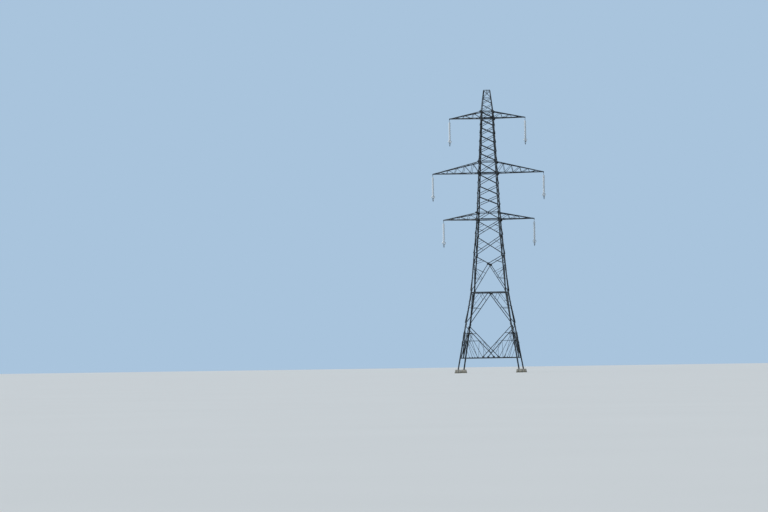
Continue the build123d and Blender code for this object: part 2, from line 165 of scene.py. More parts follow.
def bolt(mesh, at, axis, across=0.013, height=0.006):
    """One hexagon head or nut, standing on the point at, with a width across its flats."""
    turn = axis.to_track_quat("Z", "X")
    ring = [turn @ Vector((math.cos(a), math.sin(a), 0)) * across / math.sqrt(3) for a in turns(6)]
    prism(mesh, [at + p for p in ring], [at + p * 0.93 + axis * height for p in ring])


# Half the width over the outer corners of the legs, in metres, at the heights where the legs bend
LEG_LINE = [(0, 2.3), (5.925, 1.3), (11.225, 0.84), (19.25, 0.435), (20.8, 0.245)]


def half_width(z):
    """Half the width over the outer corners of the legs at height z."""
    for (z1, w1), (z2, w2) in zip(LEG_LINE, LEG_LINE[1:]):
        if z <= z2:
            return w1 + (w2 - w1) * (z - z1) / (z2 - z1)
    return LEG_LINE[-1][1]


leg_steel = dulled_zinc("galvanised_leg_steel", "#2c3033", "#565b5e", "#17191b")
dress("leg_", leg_steel)

# Cover angles bolted round the legs, where two lengths meet or the leg is stiffened: the heights of their
# ends and their width
SPLICES = [(2.62, 2.84, 0.088), (4.25, 4.5, 0.088), (5.67, 5.965, 0.086), (7.55, 7.8, 0.078),
           (9.28, 9.5, 0.076), (10.93, 11.17, 0.074), (13.32, 13.5, 0.062), (16.45, 16.62, 0.062)]
COVER = 0.006
BOLT_ROWS = 4
# Where the bolts of a row stand, as shares of the width of the cover
BOLT_PLACES = (0.32, 0.74)
CORNERS = [(-1, -1), (-1, 1), (1, -1), (1, 1)]
covers = bmesh.new()
cover_bolts = bmesh.new()
for low, high, width in SPLICES:
    for sx, sy in CORNERS:
        rings = []
        for z in (low, high):
            w = half_width(z)
            ring = [(w + COVER, w + COVER), (w + COVER, w - width), (w, w - width), (w, w), (w - width, w),
                    (w - width, w + COVER)]
            rings.append([Vector((sx * x, sy * y, z)) for x, y in ring])
        prism(covers, *rings)
        for row in range(BOLT_ROWS):
            z = low + (high - low) * (row + 0.5) / BOLT_ROWS
            w = half_width(z)
            for share in BOLT_PLACES:
                inset = width * share
                bolt(cover_bolts, Vector((sx * (w + COVER), sy * (w - inset), z)), Vector((sx, 0, 0)))
                bolt(cover_bolts, Vector((sx * (w - inset), sy * (w + COVER), z)), Vector((0, sy, 0)))
finish_piece(covers, "leg_splice_covers", leg_steel)

bolt_steel = dulled_zinc("galvanised_bolt_steel", "#4d5051", "#787c7e", "#3a322b")
finish_piece(cover_bolts, "leg_splice_bolts", bolt_steel)


def tube(mesh, points, radius, sides=8):
    """A round bar that follows points, closed at both ends."""
    rings = []
    across = None
    for k, p in enumerate(points):
        ahead = points[min(k + 1, len(points) - 1)] - points[max(k - 1, 0)]
        ahead.normalize()
        across = ahead.orthogonal() if across is None else across - ahead * across.dot(ahead)
        across.normalize()
        other = ahead.cross(across)
        rings.append([mesh.verts.new(p + (across * math.cos(a) + other * math.sin(a)) * radius)
                      for a in turns(sides)])
    for a, b in zip(rings, rings[1:]):
        join_rings(mesh, a, b)
    mesh.faces.new(rings[0][::-1])
    mesh.faces.new(rings[-1])


# Step bolts for climbing, every 380 mm in reality, on two opposite legs, one flange and then the other
FIRST_STEP, LAST_STEP, STEP = 2.2, 19.1, 0.19
STEP_INSET = 0.018
STEP_LENGTH = 0.088
STEP_RADIUS = 0.0048
step_bolts = bmesh.new()
z = FIRST_STEP
count = 0
while z < LAST_STEP:
    w = half_width(z) - STEP_INSET
    for sign in (-1, 1):
        start = Vector((sign * w, sign * w, z))
        out = Vector((sign, 0, 0)) if count % 2 == 0 else Vector((0, sign, 0))
        tip = start + out * STEP_LENGTH
        tube(step_bolts, [start, tip], STEP_RADIUS, 6)
        bolt(step_bolts, tip, out, 0.017, 0.005)
        bolt(step_bolts, start + out * STEP_INSET, out, 0.015, 0.006)
    z += STEP
    count += 1
finish_piece(step_bolts, "step_bolts", bolt_steel)


# Footings
# Each leg stands in a block of cast concrete with sloping sides, its top struck off smooth by hand.
# Years in the wet have left it pale on top and dark and green at the foot.


def cast_concrete(name):
    """Concrete cast in boards: pale cement skin, fine sand, small air holes and a damp foot."""
    concrete, tree, place = new_material(name)
    height = add_node(tree, "ShaderNodeSeparateXYZ", {}, {0: place}).outputs["Z"]
    # Clouding in the cement skin, about 120 mm across
    clouds = add_node(tree, "ShaderNodeTexNoise", {"Scale": 1 / 0.12, "Detail": 8, "Roughness": 0.65},
                      {"Vector": place})
    # Sand of 2 mm, drawn at 5 mm so that it shows
    sand = add_node(tree, "ShaderNodeTexNoise", {"Scale": 1 / 0.005, "Detail": 2}, {"Vector": place})
    # Air holes about 25 mm apart
    holes = add_node(tree, "ShaderNodeTexVoronoi", {"Scale": 1 / 0.025}, {"Vector": place})
    skin = add_node(tree, "ShaderNodeMapRange", {"From Min": 0.35, "From Max": 0.65},
                    {"Value": clouds.outputs["Fac"]})
    cement = add_node(tree, "ShaderNodeMix",
                      {"data_type": "RGBA", 6: linear("#8f8b82"), 7: linear("#b5b1a6")}, {0: skin})
    wander = add_node(tree, "ShaderNodeMath", {"operation": "MULTIPLY_ADD", 1: 0.16, 2: -0.08},
                      {0: clouds.outputs["Fac"]})
    level = add_node(tree, "ShaderNodeMath", {"operation": "ADD"}, {0: height, 1: wander})
    damp = add_node(tree, "ShaderNodeMapRange",
                    {"From Min": 0.02, "From Max": 0.16, "To Min": 0.8, "To Max": 0},
                    {"Value": level})
    stained = add_node(tree, "ShaderNodeMix", {"data_type": "RGBA", 7: linear("#5d5e4b")},
                       {0: damp, 6: cement.outputs[2]})
    pit = add_node(tree, "ShaderNodeMapRange", {"From Min": 0.05, "From Max": 0.16},
                   {"Value": holes.outputs["Distance"]})
    rough = add_node(tree, "ShaderNodeMath", {"operation": "MULTIPLY_ADD", 1: 0.3},
                     {0: sand.outputs["Fac"], 2: pit})
    relief = add_node(tree, "ShaderNodeBump", {"Strength": 0.6, "Distance": 0.002},
                      {"Height": rough})
    gloss = add_node(tree, "ShaderNodeMapRange", {"To Min": 0.78, "To Max": 0.95},
                     {"Value": clouds.outputs["Fac"]})
    link_surface(tree, stained, gloss, relief)
    return concrete


footing_concrete = cast_concrete("cast_footing_concrete")
dress("footings", footing_concrete)

# A strap of zinc-coated steel earths each leg: down its flange and over the concrete to the underside.
# Its back and its face follow these lines of (distance from the middle of the tower, height).
STRAP_BACK = [(half_width(0.43) + 0.0005, 0.43), (half_width(0.27) + 0.0005, 0.2625), (2.3985, 0.2625),
              (2.4585, 0.002)]
STRAP_FACE = [(half_width(0.43) + 0.0035, 0.43), (half_width(0.27) + 0.004, 0.266), (2.4005, 0.266),
              (2.4625, 0.002)]
STRAP_MIDDLE = 2.19
STRAP_WIDTH = 0.025
earth_straps = bmesh.new()
for sx, sy in CORNERS:
    near, far = sx * (STRAP_MIDDLE - STRAP_WIDTH / 2), sx * (STRAP_MIDDLE + STRAP_WIDTH / 2)
    rings = [[Vector((near, sy * a, b)), Vector((far, sy * a, b)), Vector((far, sy * c, d)),
              Vector((near, sy * c, d))] for (a, b), (c, d) in zip(STRAP_BACK, STRAP_FACE)]
    for first, last in zip(rings, rings[1:]):
        prism(earth_straps, first, last)
    bolt(earth_straps, Vector((sx * STRAP_MIDDLE, sy * (half_width(0.4) + 0.0035), 0.4)), Vector((0, sy, 0)))
finish_piece(earth_straps, "earth_straps", bolt_steel)


# Bracing between the footings and the waist
# Crossed angles, with their flat flanges bolted to the legs and to small plates where they cross.
# Lighter angles divide the long bars so that they don't buckle. All are galvanised and weathered.

brace_steel = dulled_zinc("galvanised_brace_steel", "#303437", "#5b6063", "#191b1d")
dress(("lower_bracing", "base_horizontals", "waist_frame"), brace_steel)
SIDE_TURNS = {"front": 0, "right": 90, "back": 180, "left": 270}


def on_side(side, x, z):
    """Point at level position x and height z on the outer faces of the legs of one side."""
    turn = Matrix.Rotation(math.radians(SIDE_TURNS[side]), 3, "Z")
    return turn @ Vector((x, -half_width(z), z))


def outward(side, z):
    """Direction square to one side at height z."""
    slope = (half_width(z - 0.01) - half_width(z + 0.01)) / 0.02
    turn = Matrix.Rotation(math.radians(SIDE_TURNS[side]), 3, "Z")
    return (turn @ Vector((0, -1, slope))).normalized()


def angle_bar(mesh, start, end, out, width, thick):
    """A rolled angle from start to end, with one flange flat, square to out, and the other along out."""
    along = (end - start).normalized()
    out = (out - along * out.dot(along)).normalized()
    side = along.cross(out)
    outline = [(-width / 2, 0), (width / 2, 0), (width / 2, thick), (-width / 2 + thick, thick),
               (-width / 2 + thick, width), (-width / 2, width)]
    prism(mesh, *([at + side * a + out * b for a, b in outline] for at in (start, end)))


# Distance of the bolt of a light angle from its end, and the width and height of its head
END_DISTANCE = 0.014
SMALL_HEAD = 0.011
SMALL_HEAD_HEIGHT = 0.005


def side_bar(mesh, bolts, side, a, b, width, layer, inward=False, thick=0.003):
    """A light angle on one side, from a to b as (x, z), outside the leg faces or inside the flanges."""
    out = outward(side, (a[1] + b[1]) / 2)
    face = -out if inward else out
    start, end = on_side(side, *a), on_side(side, *b)
    angle_bar(mesh, start + face * layer, end + face * layer, face, width, thick)
    along = (end - start).normalized()
    for at in (start + along * END_DISTANCE, end - along * END_DISTANCE):
        bolt(bolts, at + face * (layer + thick), face, SMALL_HEAD, SMALL_HEAD_HEIGHT)
        if inward:
            # The same bolt goes on through its packing to the outer face of the legs
            bolt(bolts, at - out * layer, out, 0.013, layer + 0.0012)


def along_bar(a, b, z):
    """Level position at height z on the straight bar from a to b, each given as (x, z)."""
    return a[0] + (b[0] - a[0]) * (z - a[1]) / (b[1] - a[1])


def middle_height(a, b):
    """Height at which the straight bar from a to b, each given as (x, z), passes the middle of its side."""
    return along_bar(a[::-1], b[::-1], 0)


def on_half(s, points):
    """Points (x, z) of the right half of a side, taken to its left (-1) or right (1) half."""
    return [(s * x, z) for x, z in points]


# How far in from the outer corners of the legs the main bars and the light struts end
LEG_INSET = 0.05
STRUT_INSET = 0.03
# The struts lie inside the leg flanges, this deep behind their outer faces
STRUT_DEPTH = 0.012
# Thickness of the leg flanges here, of the flanges of the main bars and of the plates
LOWER_LEG = 0.008
FLANGE = 0.004
PLATE = 0.0035
# Width of the bolt heads of the main bars and plates
HEAD = 0.014


def strut(bar, leg_z, bar_z=None):
    """Ends of a strut from the leg at height leg_z to a bar at height bar_z, or at the same height."""
    bar_z = bar_z or leg_z
    return (half_width(leg_z) - STRUT_INSET, leg_z), (along_bar(*bar, bar_z), bar_z)


knee = (0.04, 5.83), (half_width(3.65) - LEG_INSET, 3.65)
foot = (half_width(3.425) - LEG_INSET, 3.425), (-0.38, 1.192)
# Struts hang from a quarter of the waist bar, down to the leg and to the knee bar
quarter = (0.66, 5.85)
long_strut = quarter, (half_width(4.82) - LEG_INSET, 4.82)
# A brace falls from the upper level strut to the leg, and the lower level strut meets it in two parts
UPPER_STRUT, LOWER_STRUT = 2.9, 2.35
lower_end = (along_bar(*foot, LOWER_STRUT), LOWER_STRUT)
brace = (1.488, 2.878), (half_width(1.79) - LEG_INSET, 1.79)
meet = along_bar(*brace, LOWER_STRUT)
CLEAR = 0.017
# Ends and width of each strut of the right half of a side
STRUTS = [
    (*strut(knee, 4.76), 0.03),
    (*long_strut, 0.026),
    (quarter, (along_bar(*knee, 5.32), 5.32), 0.026),
    (*strut(long_strut, 5.24), 0.022),
    (*strut(foot, UPPER_STRUT), 0.04),
    ((half_width(LOWER_STRUT) - STRUT_INSET, LOWER_STRUT), (meet + CLEAR, LOWER_STRUT), 0.018),
    ((meet - CLEAR, LOWER_STRUT), lower_end, 0.018),
    (*brace, 0.028),
    (lower_end, (0.72, 1.105), 0.024),
    (lower_end, (0.15, 1.43), 0.026),
]
# A fan of bars lies outside the leg faces, from two plates on the leg to plates on the level bar below
FAN_PLATES = (2.33, 2.95)
LEVEL_BAR = 1.12
FAN = [((1.717, FAN_PLATES[1]), (0.78, LEVEL_BAR), 0.03), ((1.735, 2.9), (1.18, LEVEL_BAR), 0.028),
       ((half_width(FAN_PLATES[0]) - LEG_INSET, FAN_PLATES[0]), (1.37, LEVEL_BAR), 0.022)]
lower_secondary = bmesh.new()
lower_bolts = bmesh.new()
for side in SIDE_TURNS:
    for s in (-1, 1):
        for a, b, width in STRUTS:
            side_bar(lower_secondary, lower_bolts, side, *on_half(s, (a, b)), width, STRUT_DEPTH, inward=True)
        for a, b, width in FAN:
            side_bar(lower_secondary, lower_bolts, side, *on_half(s, (a, b)), width, PLATE)
finish_piece(lower_secondary, "lower_secondary_bracing", brace_steel)


def end_bolts(bolts, side, bar, leg, head, from_a=(0.02, 0.05), from_b=(0.02, 0.05)):
    """Bolts through the ends of a crossed pair of main bars, with a head on one face and a nut on the other.
    The bar lies outside a leg flange of thickness leg, and its mirror image inside the flange."""
    for (a, b), inner in ((bar, False), (on_half(-1, bar), True)):
        start, end = on_side(side, *a), on_side(side, *b)
        out = outward(side, (a[1] + b[1]) / 2)
        along = (end - start).normalized()
        for base, way, places in ((start, along, from_a), (end, -along, from_b)):
            for d in places:
                at = base + way * d
                bolt(bolts, at + out * (PLATE if inner else FLANGE), out, head)
                bolt(bolts, at - out * (leg + FLANGE if inner else leg), -out, head)


for side in SIDE_TURNS:
    end_bolts(lower_bolts, side, knee, LOWER_LEG, 0.015, (0.02, 0.05), (0.025, 0.06))
    end_bolts(lower_bolts, side, on_half(-1, foot), LOWER_LEG, 0.015, (0.025, 0.06), (0.03, 0.07))
    # Two bolts through the packing plate where the foot bars cross
    cross = middle_height(*foot)
    out = outward(side, cross)
    for x, lift in ((-0.012, 0.012), (0.012, -0.012)):
        bolt(lower_bolts, on_side(side, x, cross + lift) + out * FLANGE, out, HEAD)
finish_piece(lower_bolts, "lower_bracing_bolts", bolt_steel)


# Gusset plates on the legs
# Flat plates cut from sheet, with clipped corners, bolted to the legs where the bars of a side meet.
# They were galvanised after punching, so their edges are as grey as their faces.


def gusset(mesh, side, corners, thick=PLATE, layer=0.0):
    """A plate on one side of the tower, from corner points given as (x, z)."""
    out = outward(side, sum(c[1] for c in corners) / len(corners))
    face = [on_side(side, x, z) + out * layer for x, z in corners]
    prism(mesh, face, [p + out * thick for p in face])


def leg_gusset(mesh, side, s, z, reach, tall):
    """A plate with clipped corners at height z on the left (-1) or right (1) leg of one side."""
    corners = []
    for inset, dz in ((0.006, -tall), (0.006, tall), (0.5 * reach, tall), (reach, 0.42 * tall),
                      (reach, -0.42 * tall), (0.5 * reach, -tall)):
        corners.append((s * (half_width(z + dz) - inset), z + dz))
    gusset(mesh, side, corners)


# Heights between which the panels of crossed bars stand, and those at which arms join the legs
BODY_LEVELS = [8.65, 10.075, 11.225]
BARREL_LEVELS = [11.225, 12.27, 13.02, 13.8, 14.65, 15.525, 16.2, 16.85, 17.5, 18.1, 18.7, 19.25]
ARM_LEVELS = (11.225, 14.65, 15.525, 18.7)
# Reach and half height of the plates on the legs of the barrel, and height, reach and half height below it
BARREL_PLATE = (0.098, 0.105)
LEG_PLATES = [(FAN_PLATES[0], 0.1, 0.06), (FAN_PLATES[1], 0.13, 0.1), (3.54, 0.13, 0.17), (6.03, 0.13, 0.08),
              (8.65, 0.13, 0.12), (10.075, 0.13, 0.12)]
FOOT_PLATE = [(-0.035, -0.035), (0.035, -0.035), (0.035, 0.03), (0.018, 0.055), (-0.018, 0.055),
              (-0.035, 0.03)]
JOINT_PLATE = [(-0.045, -0.02), (-0.02, -0.04), (0.03, -0.04), (0.045, -0.02), (0.045, 0.02), (-0.045, 0.02)]
# Height, reach above and reach below of the bigger plates that join the crossarms to the front and back faces
ARM_PLATES = [(11.235, 0.14, 0.12), (11.76, 0.07, 0.1), (14.65, 0.16, 0.13), (15.515, 0.09, 0.15),
              (18.7, 0.15, 0.12), (19.225, 0.06, 0.13)]
ARM_PLATE_BOLTS = [(-0.02, -0.06), (-0.02, -0.02), (-0.02, 0.03), (0.04, -0.012), (0.075, 0.008),
                   (-0.055, 0.035), (-0.055, -0.035)]
plates = bmesh.new()
plate_bolts = bmesh.new()
for side in SIDE_TURNS:
    for s in (-1, 1):
        for z, reach, tall in LEG_PLATES:
            leg_gusset(plates, side, s, z, reach, tall)
        for z in BARREL_LEVELS[1:-1]:
            if side in ("front", "back") or z not in ARM_LEVELS:
                leg_gusset(plates, side, s, z, *BARREL_PLATE)
        for z in (*FAN_PLATES, *BODY_LEVELS, *BARREL_LEVELS[1:-1]):
            out = outward(side, z)
            for dz in (-0.03, 0.03):
                spot = on_side(side, s * (half_width(z + dz) - 0.03), z + dz)
                bolt(plate_bolts, spot + out * PLATE, out, HEAD)
        # Plates under the feet of the fan, packed out from the level bar
        for _, (x, z), _ in FAN:
            corners = [(s * x + dx, z + dz) for dx, dz in FOOT_PLATE]
            gusset(plates, side, corners, LOWER_LEG + PLATE, -LOWER_LEG)
        # Small plates inside, where the brace meets the upper and the lower strut
        for x, z in ((brace[0][0], 2.885), (meet, LOWER_STRUT)):
            gusset(plates, side, [(s * x + dx, z + dz) for dx, dz in JOINT_PLATE], layer=-STRUT_DEPTH)
        if side in ("front", "back"):
            for z, up, down in ARM_PLATES:
                w = half_width(z)
                corners = [(w - 0.11, z - down * 0.5), (w - 0.06, z - down), (w + 0.02, z - down),
                           (w + 0.105, z - 0.03), (w + 0.105, z + 0.03), (w + 0.02, z + up),
                           (w - 0.06, z + up), (w - 0.11, z + up * 0.5)]
                gusset(plates, side, on_half(s, corners))
                out = outward(side, z)
                for dx, dz in ARM_PLATE_BOLTS:
                    bolt(plate_bolts, on_side(side, s * (w + dx), z + dz) + out * PLATE, out, HEAD)
finish_piece(plates, "leg_gusset_plates", brace_steel)
finish_piece(plate_bolts, "leg_gusset_bolts", bolt_steel)


# Bracing of the body
# Crossed angles above the waist, two of them fanned from a centre plate, with light struts that hold
# the legs and the long bars halfway.

dress("body_bracing", brace_steel)

# The bars of a panel end this far from its levels
DROP = 0.08
# Thickness of the leg flanges here, and how deep behind their outer faces the struts lie
BODY_LEG = 0.007
BODY_DEPTH = 0.0115
BODY_STRUT_WIDTH = 0.026


def falling_bar(low, high, drop=DROP, inset=LEG_INSET):
    """Ends of the bar that falls from left to right across the panel between two levels."""
    return (inset - half_width(high - drop), high - drop), (half_width(low + drop) - inset, low + drop)


def panel_cross(low, high):
    """Height at which the two bars of a panel cross, from its levels."""
    return low + (high - low) * half_width(low) / (half_width(low) + half_width(high))


body_secondary = bmesh.new()
body_bolts = bmesh.new()
# The long bars that fan from the centre plate down to the waist and up to the first panel, and their struts
WAIST = 5.925
fan_low = (0.042, 7.919), (half_width(WAIST + DROP) - LEG_INSET, WAIST + DROP)
fan_high = (0.05, 8.013), (half_width(BODY_LEVELS[0] - DROP) - LEG_INSET, BODY_LEVELS[0] - DROP)
BODY_STRUTS = [strut(fan_low, 6.93), strut(fan_low, 7.72, 7.36), strut(fan_low, 7.66, 6.96),
               strut(fan_high, 8.05, 8.25)]
# In each panel two struts run from the middle of the leg length to the halves of the bars
for low, high in zip(BODY_LEVELS, BODY_LEVELS[1:]):
    cross = panel_cross(low, high)
    centre = (low + high) / 2
    for end, lift in ((low + DROP, 0), (high - DROP, 0.04)):
        z = (end + cross) / 2
        x = along_bar((half_width(end) - LEG_INSET, end), (0, cross), z)
        BODY_STRUTS.append(((half_width(centre) - STRUT_INSET, centre + lift), (x, z)))
for side in SIDE_TURNS:
    for s in (-1, 1):
        for bar in BODY_STRUTS:
            side_bar(body_secondary, body_bolts, side, *on_half(s, bar), BODY_STRUT_WIDTH, BODY_DEPTH,
                     inward=True)
finish_piece(body_secondary, "body_secondary_bracing", brace_steel)

# Heads on the plates at the centre of each side and at the waist
CENTRE_BOLTS = {7.965: [(0, 0.065), (0, -0.065), (-0.075, 0), (0.075, 0)],
                5.84: [(-0.075, 0.055), (-0.025, 0.055), (0.025, 0.055), (0.075, 0.055)]}
# Heads along the level bar of the waist and the level bar above the footings, where they cross the legs
LEVEL_BAR_BOLTS = {5.891: (0.03, 0.06), 1.1: (0.03, 0.065)}
for side in SIDE_TURNS:
    for bar in (fan_low, on_half(-1, fan_high)):
        end_bolts(body_bolts, side, bar, BODY_LEG, HEAD)
    for low, high in zip(BODY_LEVELS, BODY_LEVELS[1:]):
        end_bolts(body_bolts, side, falling_bar(low, high), BODY_LEG, HEAD)
        cross = panel_cross(low, high)
        out = outward(side, cross)
        for d in (-0.018, 0.018):
            bolt(body_bolts, on_side(side, d, cross - d * 0.7) + out * FLANGE, out, HEAD)
    for z, grid in CENTRE_BOLTS.items():
        out = outward(side, z)
        for dx, dz in grid:
            bolt(body_bolts, on_side(side, dx, z + dz), out, HEAD)
    for z, insets in LEVEL_BAR_BOLTS.items():
        out = outward(side, z)
        for s in (-1, 1):
            for inset in insets:
                bolt(body_bolts, on_side(side, s * (half_width(z) - inset), z), out, HEAD)
finish_piece(body_bolts, "body_bracing_bolts", bolt_steel)


# Bracing of the barrel and the level frames inside it
# Eleven short panels of crossed angles, one bar outside and one inside the leg flanges, with a packing
# plate between them. Level frames hold the square shape where the arms pull.

dress(("barrel_bracing", "level_frames"), brace_steel)

BARREL_LEG = 0.006
# Distances of the bolts from the ends of the bars
BARREL_PLACES = (0.014, 0.038)
barrel_bolts = bmesh.new()
for side in SIDE_TURNS:
    for low, high in zip(BARREL_LEVELS, BARREL_LEVELS[1:]):
        bar = falling_bar(low, high)
        end_bolts(barrel_bolts, side, bar, BARREL_LEG, 0.012, BARREL_PLACES, BARREL_PLACES)
        cross = middle_height(*bar)
        out = outward(side, cross)
        bolt(barrel_bolts, on_side(side, 0, cross) + out * FLANGE, out, HEAD)
        bolt(barrel_bolts, on_side(side, 0, cross) - out * (BARREL_LEG + FLANGE), -out, HEAD)
finish_piece(barrel_bolts, "barrel_bracing_bolts", bolt_steel)


# Peak
# Four small angles carry on from the legs, crossed on each side and closed by a frame on top.
# A bracket of one more angle lies across the top frame, bolted down at both ends.

dress("peak", brace_steel)

PEAK_LEVELS = [19.25, 19.77, 20.225, 20.8]
PEAK_LEG = 0.005
PEAK_DEPTH = 0.009
# How far the bars of the peak end from its levels, and from the outer corners of its legs
PEAK_DROP = 0.045
PEAK_INSET = 0.03
peak_trim = bmesh.new()
peak_bolts = bmesh.new()
for side in SIDE_TURNS:
    for low, high in zip(PEAK_LEVELS, PEAK_LEVELS[1:]):
        bar = falling_bar(low, high, PEAK_DROP, PEAK_INSET)
        end_bolts(peak_bolts, side, bar, PEAK_LEG, 0.01, (0.012,), (0.012,))
        cross = middle_height(*bar)
        out = outward(side, cross)
        bolt(peak_bolts, on_side(side, 0, cross) + out * FLANGE, out, 0.01)
    # Short post above the crossing of the highest panel, and a level bar under that panel
    side_bar(peak_trim, peak_bolts, side, (0, cross + 0.02), (0, 20.785), 0.02, PEAK_DEPTH, inward=True)
    z = PEAK_LEVELS[2]
    w = half_width(z) - 0.01
    side_bar(peak_trim, peak_bolts, side, (-w, z), (w, z), 0.022, PEAK_DEPTH, inward=True)
BRACKET_ENDS = [Vector((0, y, 20.777)) for y in (-0.235, 0.235)]
angle_bar(peak_trim, *BRACKET_ENDS, Vector((0, 0, 1)), 0.04, 0.004)
finish_piece(peak_trim, "peak_posts_and_bracket", brace_steel)
finish_piece(peak_bolts, "peak_bolts", bolt_steel)


# Crossarms
# Each arm is a long pyramid of four angles that meet at a plate at the tip, laced with light angles.
# The arms were bolted together lying flat and then lifted, and their plates are thicker than the lacing.

dress("crossarm", leg_steel)

# Height of the bottom chords, height of the top chords at the tower, reach of the tip and number of panels
ARMS = {"top": (18.7, 19.232, 2.79, 3), "middle": (14.65, 15.525, 4.09, 5), "lower": (11.24, 11.763, 3.34, 3)}
HANDS = {"left": -1, "right": 1}
# Width and thickness of the angles of the chords
CHORD = 0.056
CHORD_THICK = 0.006
# Share of the length of an arm that is laced, and of a panel at which its bars meet on the top chord
LACED = 0.88
PANEL_TURN = 0.82
# How far inside the outer faces of the legs the chords start, and how much further in across the tower
ROOT_INSET = 0.008
ROOT_LAP = 0.02
# Half the width of the tip, and the rise between its chords
TIP_HALF = 0.04
TIP_RISE = 0.052
# Half the width of a lacing bar, and the outline of its standing flange as (share of that, depth)
LACE_HALF = 0.0115
LACE_FLANGE = ((0.85, 0), (1.12, 0), (1.12, 0.02), (0.85, 0.02))
# Distances of the end of the standing flange and of the bolt from the end of the bar
LACE_CUT = 0.035
LACE_BOLT = 0.012
# Shares of the length of the chords at which the tip plates start and their bolts stand
TIP_PLATE = 0.93
TIP_BOLTS = (0.94, 0.965, 0.985)


def lace(mesh, bolts, a, b, out):
    """The standing flange and end bolts of one lacing bar, whose flat flange faces out."""
    along = (b - a).normalized()
    side = along.cross(out) * LACE_HALF
    ends = [a + along * LACE_CUT - out * CHORD_THICK, b - along * LACE_CUT - out * CHORD_THICK]
    prism(mesh, *([p + side * share - out * depth for share, depth in LACE_FLANGE] for p in ends))
    for spot in (a + along * LACE_BOLT, b - along * LACE_BOLT):
        bolt(bolts, spot, out, 0.012)


def upward(vector):
    """The vector, or its opposite where it points down."""
    return vector if vector.z >= 0 else -vector


for arm, (z_low, z_high, span, panels) in ARMS.items():
    for hand, s in HANDS.items():
        lacing = bmesh.new()
        arm_bolts = bmesh.new()
        w_low, w_high = half_width(z_low) - ROOT_INSET, half_width(z_high) - ROOT_INSET
        root_low, tip_low = Vector((w_low - ROOT_LAP, w_low, z_low)), Vector((span, TIP_HALF, z_low))
        root_high = Vector((w_high - ROOT_LAP, w_high, z_high))
        tip_high = Vector((span, TIP_HALF, z_low + TIP_RISE))
        for t in (-1, 1):
            low_a, high_a, low_b, high_b = (Vector((s * p.x, t * p.y, p.z))
                                            for p in (root_low, root_high, tip_low, tip_high))
            along = (low_b - low_a).normalized()
            face_out = along.cross(high_a - low_a).normalized()
            if face_out.y * t < 0:
                face_out = -face_out
            up = upward(face_out.cross(along))
            # Each lacing bar is an angle: this is its flange that stands inside the arm, and its end bolts
            low_line = low_a + up * CHORD / 2, low_b + up * CHORD / 2
            high_line = high_a - up * CHORD / 2, high_b - up * CHORD / 2
            for k in range(panels):
                meeting = high_line[0].lerp(high_line[1], (k + PANEL_TURN) / panels * LACED)
                for f in (k, k + 1):
                    foot_of_bar = low_line[0].lerp(low_line[1], f / panels * LACED)
                    lace(lacing, arm_bolts, foot_of_bar, meeting, face_out)
            # Side plates over the four chords near the tip
            plate = [low_a.lerp(low_b, TIP_PLATE) - up * 0.004, low_b + along * 0.02 - up * 0.004,
                     high_b + along * 0.02 + up * 0.004, high_a.lerp(high_b, TIP_PLATE) + up * 0.004]
            prism(lacing, [p + face_out * 0.0005 for p in plate], [p + face_out * 0.006 for p in plate])
            for f in TIP_BOLTS:
                for p in (low_a.lerp(low_b, f) + up * 0.016, high_a.lerp(high_b, f) - up * 0.012):
                    bolt(arm_bolts, p + face_out * 0.006, face_out, 0.013)
        # The single bars between the two bottom chords and between the two top chords
        top_out = Vector((s * (root_high.z - tip_high.z), 0, tip_high.x - root_high.x))
        for a, b, way in ((root_low, tip_low, Vector((0, 0, -1))), (root_high, tip_high, top_out)):
            chords = [[Vector((s * p.x, t * (p.y - CHORD / 2), p.z)) for p in (a, b)] for t in (-1, 1)]
            for k in range(panels):
                near, far = chords[k % 2], chords[1 - k % 2]
                lace(lacing, arm_bolts, near[0].lerp(near[1], k / panels * LACED),
                     far[0].lerp(far[1], (k + 1) / panels * LACED), way.normalized())
        finish_piece(lacing, f"crossarm_lacing_flanges_{arm}_{hand}", brace_steel)
        finish_piece(arm_bolts, f"crossarm_bolts_{arm}_{hand}", bolt_steel)


# Bars in line with the bottom chords run on across the front and back of the tower, bolted to its plates
through_bars = bmesh.new()
through_bolts = bmesh.new()
for z_low, _, _, _ in ARMS.values():
    z = z_low + CHORD / 2
    w = half_width(z) - 0.012
    for side in ("front", "back"):
        side_bar(through_bars, through_bolts, side, (-w, z), (w, z), CHORD, PLATE, thick=0.005)
finish_piece(through_bars, "crossarm_through_bars", brace_steel)
finish_piece(through_bolts, "crossarm_through_bolts", bolt_steel)


# Insulator strings
# Twenty discs of glazed porcelain, each cemented into a cast iron cap above and round a steel pin below,
# hooked into one another and hung from the arm by a shackle. Two rings at the foot spread the voltage.


def cast_iron(name, body, pale):
    """Castings, forgings and drawn tube: a smoother skin than that of rolled bars, with grime in patches."""
    iron, tree, place = new_material(name)
    # Grime that gathers over about 30 mm
    grime = add_node(tree, "ShaderNodeTexNoise", {"Scale": 1 / 0.03, "Detail": 6, "Roughness": 0.7},
                     {"Vector": place})
    # Sand mould grain of 1 mm, drawn at 3 mm so that it shows
    grain = add_node(tree, "ShaderNodeTexNoise", {"Scale": 1 / 0.003, "Detail": 2}, {"Vector": place})
    share = add_node(tree, "ShaderNodeMapRange", {"From Min": 0.35, "From Max": 0.65},
                     {"Value": grime.outputs["Fac"]})
    grey = add_node(tree, "ShaderNodeMix", {"data_type": "RGBA", 6: linear(body), 7: linear(pale)},
                    {0: share})
    gloss = add_node(tree, "ShaderNodeMapRange", {"To Min": 0.6, "To Max": 0.38}, {"Value": share})
    relief = add_node(tree, "ShaderNodeBump", {"Strength": 0.4, "Distance": 0.0006},
                      {"Height": grain.outputs["Fac"]})
    link_surface(tree, grey, gloss, relief).inputs["Metallic"].default_value = 0.7
    return iron


